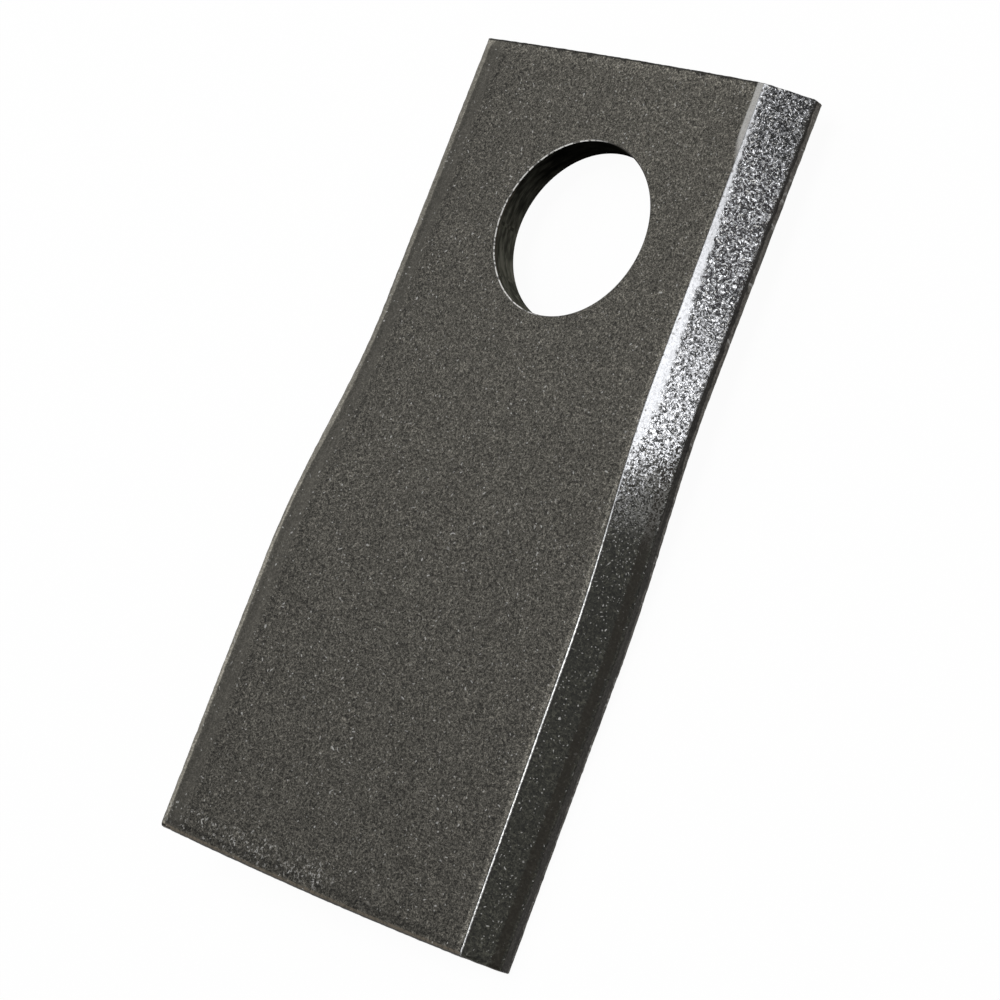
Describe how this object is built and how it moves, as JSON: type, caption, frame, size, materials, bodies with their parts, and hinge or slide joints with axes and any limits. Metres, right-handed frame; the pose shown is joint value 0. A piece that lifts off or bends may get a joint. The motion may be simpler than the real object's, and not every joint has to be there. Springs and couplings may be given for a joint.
{
  "type": "rotary mower blade",
  "caption": "Flat steel mower blade with a round pivot bore near its end, long edges bevelled on opposite faces, and a slight twist towards the free end.",
  "frame": {"origin": "centre of the pivot bore, halfway through the blade's thickness", "axes": "+Z along the bore axis, out of the upper face; +Y from the bore to the near end; +X to the long edge that is bevelled on the upper face"},
  "size_m": [0.048, 0.1037, 0.0117],
  "materials": {
    "steel": "dark matt rolled faces, bare ground bevels"
  },
  "bodies": {
    "root": {"blade": "steel"}
  },
  "joints": []
}
